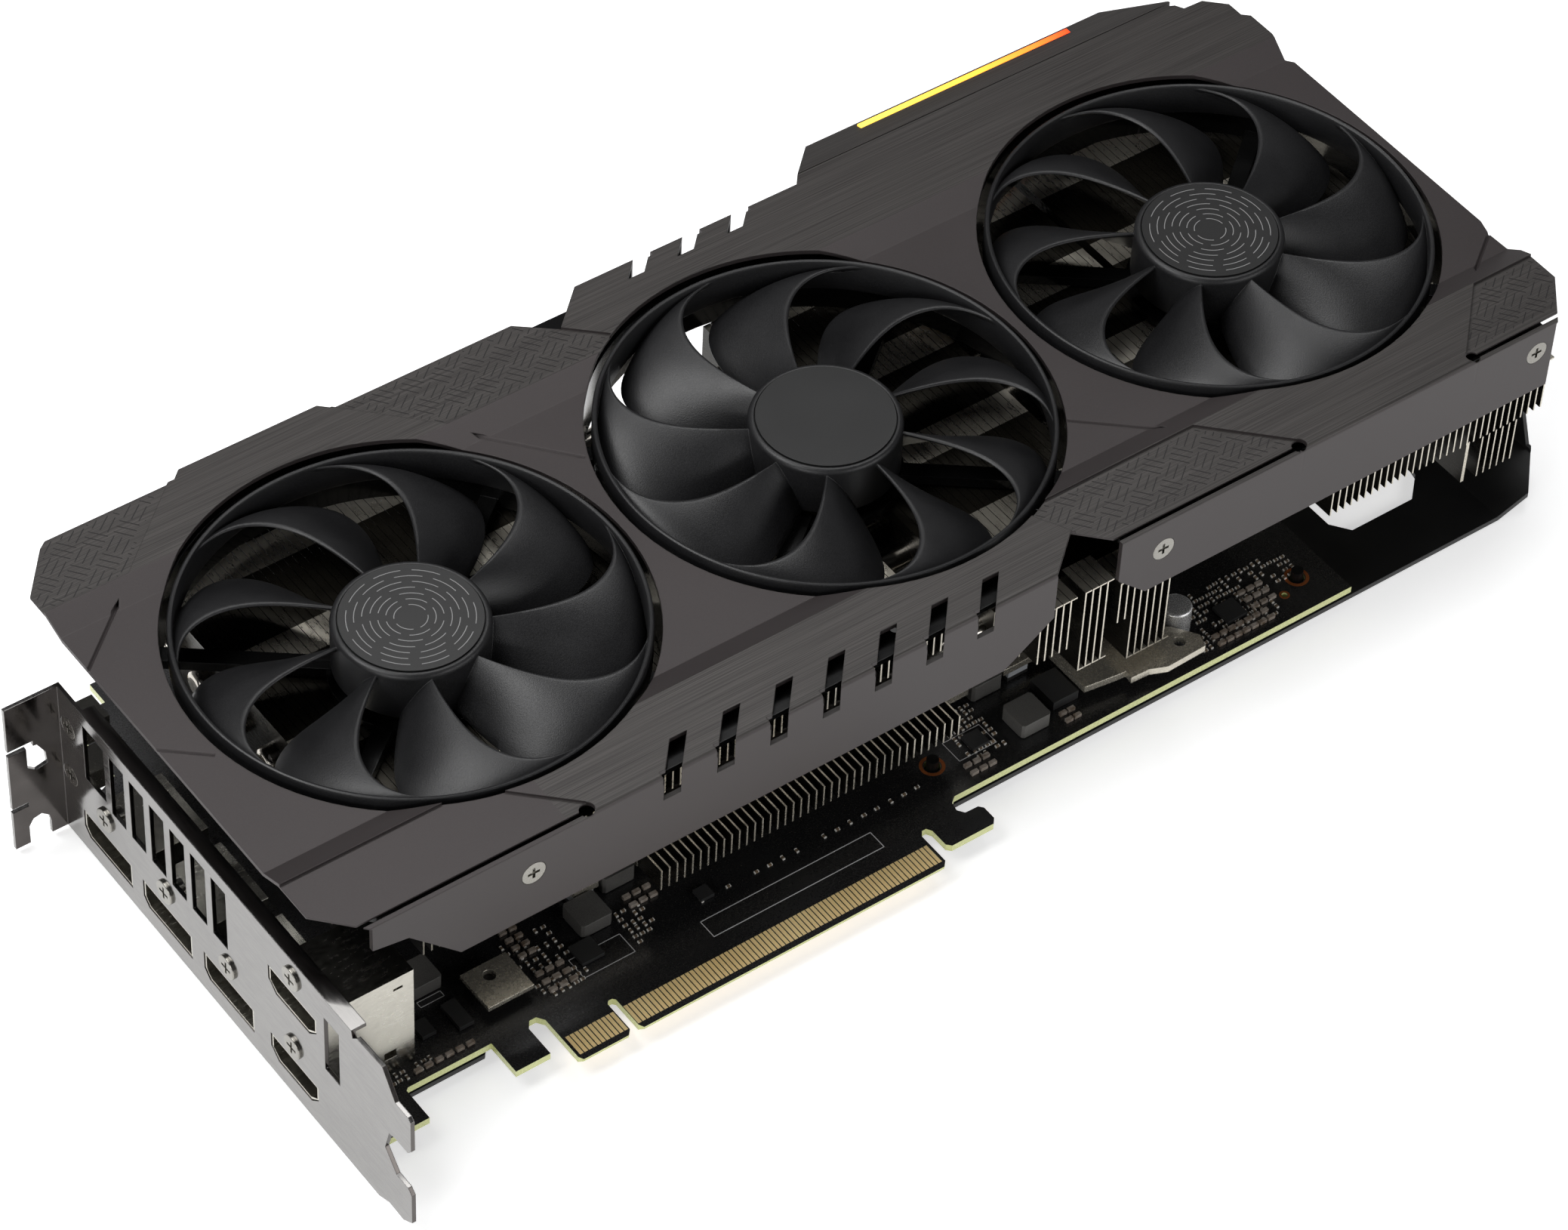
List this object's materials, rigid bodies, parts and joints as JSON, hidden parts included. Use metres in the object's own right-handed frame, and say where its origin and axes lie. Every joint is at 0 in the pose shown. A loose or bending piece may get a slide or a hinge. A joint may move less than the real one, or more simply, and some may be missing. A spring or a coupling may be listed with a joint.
{
  "type": "graphics card",
  "caption": "Long two-slot graphics card: folded shroud with fans in a row, slot bracket with display sockets, finned cooler, edge connector and vented backplate.",
  "frame": {"origin": "middle of the underside of the card's bounding box, on the backplate's plane", "axes": "+X from the slot bracket to the tail, +Y from the edge connector to the far edge, +Z out of the fans"},
  "size_m": [0.3114, 0.1548, 0.0517],
  "materials": {
    "shroud_metal": "fine dark warm grey paint, brushed along the length in places",
    "dark_screw": "black oxide",
    "light": "translucent light bar that runs from yellow to red",
    "board": "black solder mask, semi-gloss",
    "fan_plastic": "black moulded plastic, satin",
    "cap_sticker": "thin satin disc",
    "motor_steel": "lacquered laminations",
    "bearing_metal": "ground",
    "magnet": "bonded ferrite",
    "bracket_nickel": "bright nickel plate",
    "screw_steel": "bright zinc",
    "socket_steel": "bright tin plate",
    "socket_plastic": "black glass-filled nylon",
    "gold": "gold plate",
    "package": "organic substrate",
    "silicon": "polished silicon",
    "chip_black": "moulding compound",
    "pad_grey": "soft silicone",
    "choke_grey": "pressed powder, fine grain",
    "can_metal": "bare can",
    "capacitor_tan": "ceramic with tinned ends",
    "switch_white": "moulded",
    "fin_nickel": "nickel-plated sheet",
    "pipe_nickel": "nickel plate",
    "backplate_metal": "black anodised sheet"
  },
  "bodies": {
    "card": {"shroud": "shroud_metal", "side_screws": "dark_screw", "label_housing": "shroud_metal", "light_bar": "light", "light_board": "board", "fan_frame": "fan_plastic", "fan_stators": "motor_steel", "fan_motor_boards": "board", "fan_bearings": "bearing_metal", "bracket": "bracket_nickel", "bracket_screws": "screw_steel", "bracket_posts": "screw_steel", "displayport_shells": "socket_steel", "displayport_tongues": "socket_plastic", "hdmi_shell": "socket_steel", "hdmi_tongues": "socket_plastic", "circuit_board": "board", "edge_contacts": "gold", "bridge_contacts": "gold", "gpu_package": "package", "gpu_die": "silicon", "memory_chips": "chip_black", "thermal_pads": "pad_grey", "power_stages": "chip_black", "chokes": "choke_grey", "can_capacitors": "can_metal", "shunt_resistor": "chip_black", "control_chips": "chip_black", "chip_capacitors": "capacitor_tan", "power_sockets": "socket_plastic", "power_pins": "gold", "fan_sockets": "socket_plastic", "firmware_switch_body": "socket_plastic", "thermal_paste": "pad_grey", "cold_plate": "fin_nickel", "frame_plate": "fin_nickel", "fins_front": "fin_nickel", "fins_middle": "fin_nickel", "fins_rear": "fin_nickel", "heat_pipes": "pipe_nickel", "base_pipes": "pipe_nickel", "backplate": "backplate_metal", "backplate_screws": "dark_screw", "retention_cross": "screw_steel", "retention_screws": "screw_steel", "retention_springs": "screw_steel"},
    "fan_1": {"fan_rotor_1": "fan_plastic", "fan_cap_1": "cap_sticker", "fan_magnet_1": "magnet", "fan_shaft_1": "bearing_metal"},
    "fan_2": {"fan_rotor_2": "fan_plastic", "fan_cap_2": "cap_sticker", "fan_magnet_2": "magnet", "fan_shaft_2": "bearing_metal"},
    "fan_3": {"fan_rotor_3": "fan_plastic", "fan_cap_3": "cap_sticker", "fan_magnet_3": "magnet", "fan_shaft_3": "bearing_metal"},
    "switch_slider": {"firmware_switch_slider": "switch_white"}
  },
  "joints": [
    {"name": "fan_1_spin", "type": "hinge", "parent": "card", "child": "fan_1", "pos_m": [-0.08583, 0.01039, 0.0452], "axis": [0, 0, 1], "continuous": true},
    {"name": "fan_2_spin", "type": "hinge", "parent": "card", "child": "fan_2", "pos_m": [0.01036, 0.01039, 0.0452], "axis": [0, 0, 1], "continuous": true},
    {"name": "fan_3_spin", "type": "hinge", "parent": "card", "child": "fan_3", "pos_m": [0.10656, 0.01039, 0.0452], "axis": [0, 0, 1], "continuous": true},
    {"name": "switch_slide", "type": "slide", "parent": "card", "child": "switch_slider", "axis": [1, 0, 0], "range_m": [0, 0.002]}
  ]
}
